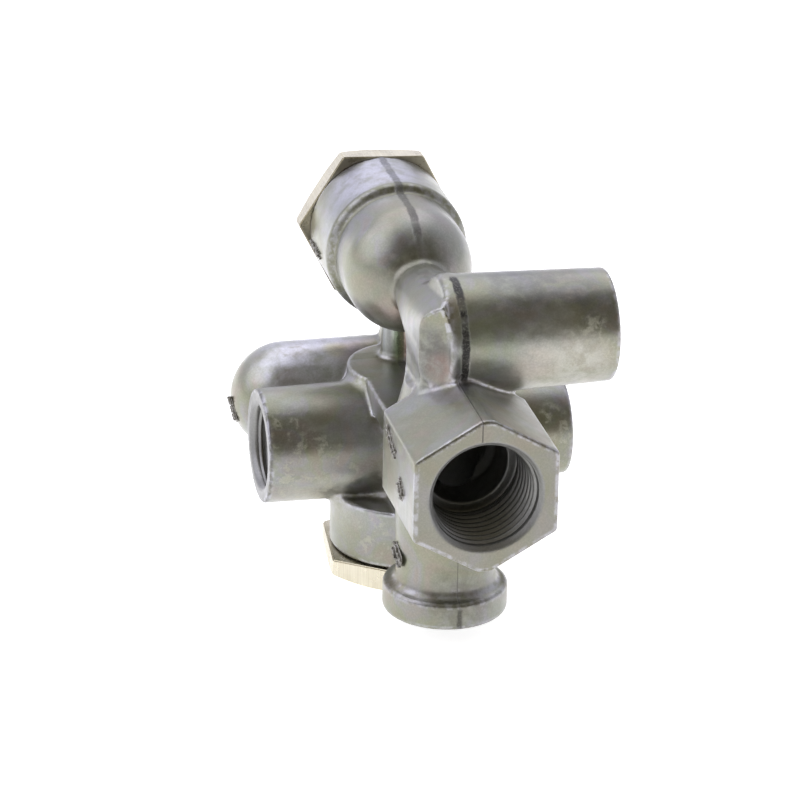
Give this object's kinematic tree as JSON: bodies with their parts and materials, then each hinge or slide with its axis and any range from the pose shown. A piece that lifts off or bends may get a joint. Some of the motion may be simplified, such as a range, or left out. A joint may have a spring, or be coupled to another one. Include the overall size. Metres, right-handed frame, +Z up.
{
  "type": "multiport air valve",
  "caption": "Cast air-brake valve body with six pipe ports facing five ways, hexagonal brass caps on its piston and poppet cartridges, and sliding check pieces inside.",
  "frame": {"origin": "middle of the valve's bounding box at its base, the plane the lower cap stands on", "axes": "+Y from the hexagonal front port towards the rear cap, +Z up from the lower cap and down port towards the upper port, +X towards the upper port's and the right side port's mouths"},
  "size_m": [0.0652, 0.0988, 0.078],
  "materials": {
    "cast_body": "die-cast, olive grey chromate, satin",
    "brass": "turned, slightly tarnished",
    "brass_inner": "turned",
    "rubber": "nitrile, matte with a film of grease",
    "steel": "zinc plated",
    "spring_steel": "drawn wire",
    "acetal": "natural acetal, satin"
  },
  "bodies": {
    "valve": {"valve_body": "cast_body", "rear_cap": "brass", "rear_cap_o_ring": "rubber", "piston_spring": "spring_steel", "lower_cap": "brass", "lower_cap_o_ring": "rubber", "lower_seat": "brass_inner", "lower_seat_o_ring": "rubber", "poppet_spring": "spring_steel", "left_seat": "brass_inner", "left_seat_o_ring": "rubber", "right_seat": "brass_inner", "right_seat_o_ring": "rubber", "check_seat": "brass_inner", "check_seat_o_ring": "rubber", "check_spring": "spring_steel"},
    "piston_unit": {"piston": "brass_inner", "piston_front_o_ring": "rubber", "piston_rear_o_ring": "rubber", "piston_face_seal": "rubber", "face_seal_washer": "steel", "face_seal_screw": "steel"},
    "poppet_unit": {"poppet": "acetal", "poppet_seal": "rubber"},
    "shuttle_unit": {"shuttle": "acetal", "shuttle_left_seal": "rubber", "shuttle_right_seal": "rubber"},
    "check_unit": {"check_poppet": "acetal", "check_seal": "rubber"}
  },
  "joints": [
    {"name": "piston_slide", "type": "slide", "parent": "valve", "child": "piston_unit", "axis": [0, 1, 0], "range_m": [0, 0.0042], "stiffness_N_per_m": 1800, "springref_m": -0.005, "deforming": ["piston_spring"]},
    {"name": "poppet_slide", "type": "slide", "parent": "valve", "child": "poppet_unit", "axis": [0, 0, -1], "range_m": [0, 0.0024], "stiffness_N_per_m": 700, "springref_m": -0.004, "deforming": ["poppet_spring"]},
    {"name": "shuttle_slide", "type": "slide", "parent": "valve", "child": "shuttle_unit", "axis": [1, 0, 0], "range_m": [-0.0016, 0.0016]},
    {"name": "check_slide", "type": "slide", "parent": "valve", "child": "check_unit", "axis": [-1, 0, 0], "range_m": [0, 0.0018], "stiffness_N_per_m": 300, "springref_m": -0.002, "deforming": ["check_spring"]}
  ]
}
